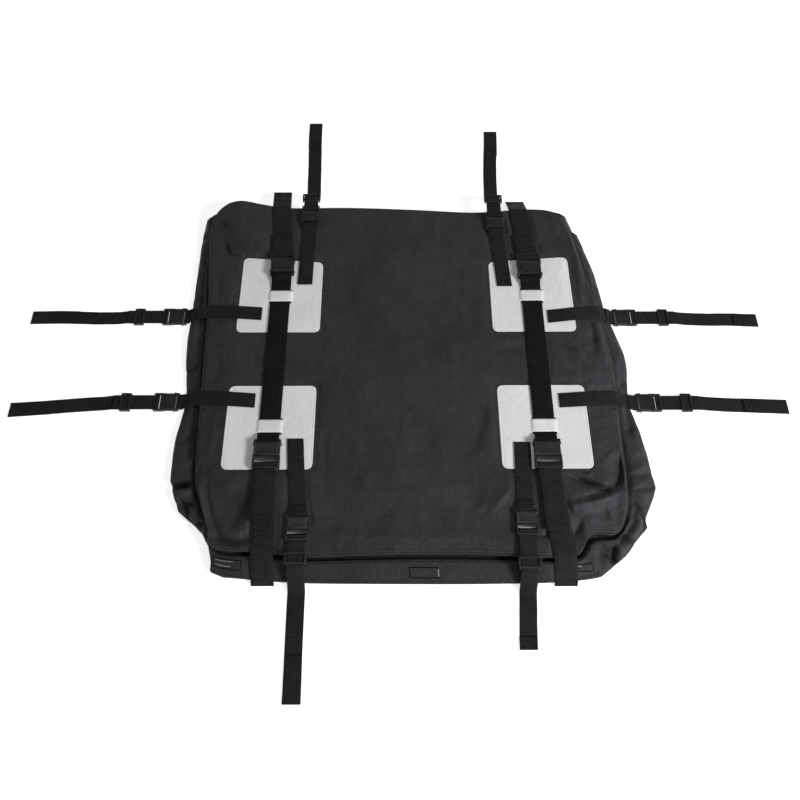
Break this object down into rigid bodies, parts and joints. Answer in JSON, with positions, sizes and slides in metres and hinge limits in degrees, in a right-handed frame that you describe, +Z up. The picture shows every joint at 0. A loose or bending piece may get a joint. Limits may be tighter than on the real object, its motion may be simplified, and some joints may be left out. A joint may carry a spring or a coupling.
{
  "type": "roof cargo bag",
  "caption": "Soft roof cargo bag lying flat and empty, with reinforcement patches, buckled wide straps and narrow lashing straps that end in sewn loops.",
  "frame": {"origin": "the middle of the bag's flat underside", "axes": "+Z up out of the top panel, -Y towards the front wall with the zip flap, +X to the right as seen from the front"},
  "size_m": [1.8852, 1.6322, 0.0613],
  "materials": {
    "coated_fabric": "charcoal coated woven polyester with a low sheen",
    "patch_fabric": "pale grey coated fabric, welded at its rim",
    "webbing": "black woven polyester webbing",
    "buckle_plastic": "black moulded acetal, satin"
  },
  "bodies": {
    "bag": {"bag_shell": "coated_fabric", "zip_flap": "coated_fabric", "patch_back_left": "patch_fabric", "patch_back_right": "patch_fabric", "patch_front_left": "patch_fabric", "patch_front_right": "patch_fabric", "wide_strap_left": "webbing", "wide_strap_right": "webbing", "wide_buckle_back_left_female": "buckle_plastic", "wide_buckle_front_left_female": "buckle_plastic", "wide_buckle_back_right_female": "buckle_plastic", "wide_buckle_front_right_female": "buckle_plastic", "anchor_front_left": "webbing", "buckle_front_left_female": "buckle_plastic", "anchor_front_right": "webbing", "buckle_front_right_female": "buckle_plastic", "anchor_back_left": "webbing", "buckle_back_left_female": "buckle_plastic", "anchor_back_right": "webbing", "buckle_back_right_female": "buckle_plastic", "anchor_left_back": "webbing", "buckle_left_back_female": "buckle_plastic", "anchor_left_front": "webbing", "buckle_left_front_female": "buckle_plastic", "anchor_right_back": "webbing", "buckle_right_back_female": "buckle_plastic", "anchor_right_front": "webbing", "buckle_right_front_female": "buckle_plastic"},
    "wide_tail_back_left": {"wide_buckle_back_left_male": "buckle_plastic", "wide_tail_back_left": "webbing"},
    "wide_tail_front_left": {"wide_buckle_front_left_male": "buckle_plastic", "wide_tail_front_left": "webbing"},
    "wide_tail_back_right": {"wide_buckle_back_right_male": "buckle_plastic", "wide_tail_back_right": "webbing"},
    "wide_tail_front_right": {"wide_buckle_front_right_male": "buckle_plastic", "wide_tail_front_right": "webbing"},
    "tail_front_left": {"buckle_front_left_male": "buckle_plastic", "tail_front_left": "webbing"},
    "tri_glide_front_left": {"tri_glide_front_left": "buckle_plastic"},
    "tail_front_right": {"buckle_front_right_male": "buckle_plastic", "tail_front_right": "webbing"},
    "tri_glide_front_right": {"tri_glide_front_right": "buckle_plastic"},
    "tail_back_left": {"buckle_back_left_male": "buckle_plastic", "tail_back_left": "webbing"},
    "tri_glide_back_left": {"tri_glide_back_left": "buckle_plastic"},
    "tail_back_right": {"buckle_back_right_male": "buckle_plastic", "tail_back_right": "webbing"},
    "tri_glide_back_right": {"tri_glide_back_right": "buckle_plastic"},
    "tail_left_back": {"buckle_left_back_male": "buckle_plastic", "tail_left_back": "webbing"},
    "tri_glide_left_back": {"tri_glide_left_back": "buckle_plastic"},
    "tail_left_front": {"buckle_left_front_male": "buckle_plastic", "tail_left_front": "webbing"},
    "tri_glide_left_front": {"tri_glide_left_front": "buckle_plastic"},
    "tail_right_back": {"buckle_right_back_male": "buckle_plastic", "tail_right_back": "webbing"},
    "tri_glide_right_back": {"tri_glide_right_back": "buckle_plastic"},
    "tail_right_front": {"buckle_right_front_male": "buckle_plastic", "tail_right_front": "webbing"},
    "tri_glide_right_front": {"tri_glide_right_front": "buckle_plastic"}
  },
  "joints": [
    {"name": "release_wide_back_left", "type": "slide", "parent": "bag", "child": "wide_tail_back_left", "axis": [0, 1, 0], "range_m": [0, 0.036]},
    {"name": "release_wide_front_left", "type": "slide", "parent": "bag", "child": "wide_tail_front_left", "axis": [0, -1, 0], "range_m": [0, 0.036]},
    {"name": "release_wide_back_right", "type": "slide", "parent": "bag", "child": "wide_tail_back_right", "axis": [0, 1, 0], "range_m": [0, 0.036]},
    {"name": "release_wide_front_right", "type": "slide", "parent": "bag", "child": "wide_tail_front_right", "axis": [0, -1, 0], "range_m": [0, 0.036]},
    {"name": "release_front_left", "type": "slide", "parent": "bag", "child": "tail_front_left", "axis": [0, -1, 0], "range_m": [0, 0.03]},
    {"name": "release_front_right", "type": "slide", "parent": "bag", "child": "tail_front_right", "axis": [0, -1, 0], "range_m": [0, 0.03]},
    {"name": "release_back_left", "type": "slide", "parent": "bag", "child": "tail_back_left", "axis": [0, 1, 0], "range_m": [0, 0.03]},
    {"name": "release_back_right", "type": "slide", "parent": "bag", "child": "tail_back_right", "axis": [0, 1, 0], "range_m": [0, 0.03]},
    {"name": "release_left_back", "type": "slide", "parent": "bag", "child": "tail_left_back", "axis": [-1, 0, 0], "range_m": [0, 0.03]},
    {"name": "release_left_front", "type": "slide", "parent": "bag", "child": "tail_left_front", "axis": [-1, 0, 0], "range_m": [0, 0.03]},
    {"name": "release_right_back", "type": "slide", "parent": "bag", "child": "tail_right_back", "axis": [1, 0, 0], "range_m": [0, 0.03]},
    {"name": "release_right_front", "type": "slide", "parent": "bag", "child": "tail_right_front", "axis": [1, 0, 0], "range_m": [0, 0.03]},
    {"name": "glide_front_left", "type": "slide", "parent": "tail_front_left", "child": "tri_glide_front_left", "axis": [0, -1, 0], "range_m": [-0.022, 0.002]},
    {"name": "glide_front_right", "type": "slide", "parent": "tail_front_right", "child": "tri_glide_front_right", "axis": [0, -1, 0], "range_m": [-0.042, 0.002]},
    {"name": "glide_back_left", "type": "slide", "parent": "tail_back_left", "child": "tri_glide_back_left", "axis": [0, 1, 0], "range_m": [-0.012, 0.002]},
    {"name": "glide_back_right", "type": "slide", "parent": "tail_back_right", "child": "tri_glide_back_right", "axis": [0, 1, 0], "range_m": [-0.03, 0.002]},
    {"name": "glide_left_back", "type": "slide", "parent": "tail_left_back", "child": "tri_glide_left_back", "axis": [-1, 0, 0], "range_m": [-0.042, 0.018]},
    {"name": "glide_left_front", "type": "slide", "parent": "tail_left_front", "child": "tri_glide_left_front", "axis": [-1, 0, 0], "range_m": [-0.05, 0.018]},
    {"name": "glide_right_back", "type": "slide", "parent": "tail_right_back", "child": "tri_glide_right_back", "axis": [1, 0, 0], "range_m": [-0.05, 0.018]},
    {"name": "glide_right_front", "type": "slide", "parent": "tail_right_front", "child": "tri_glide_right_front", "axis": [1, 0, 0], "range_m": [-0.044, 0.018]}
  ]
}
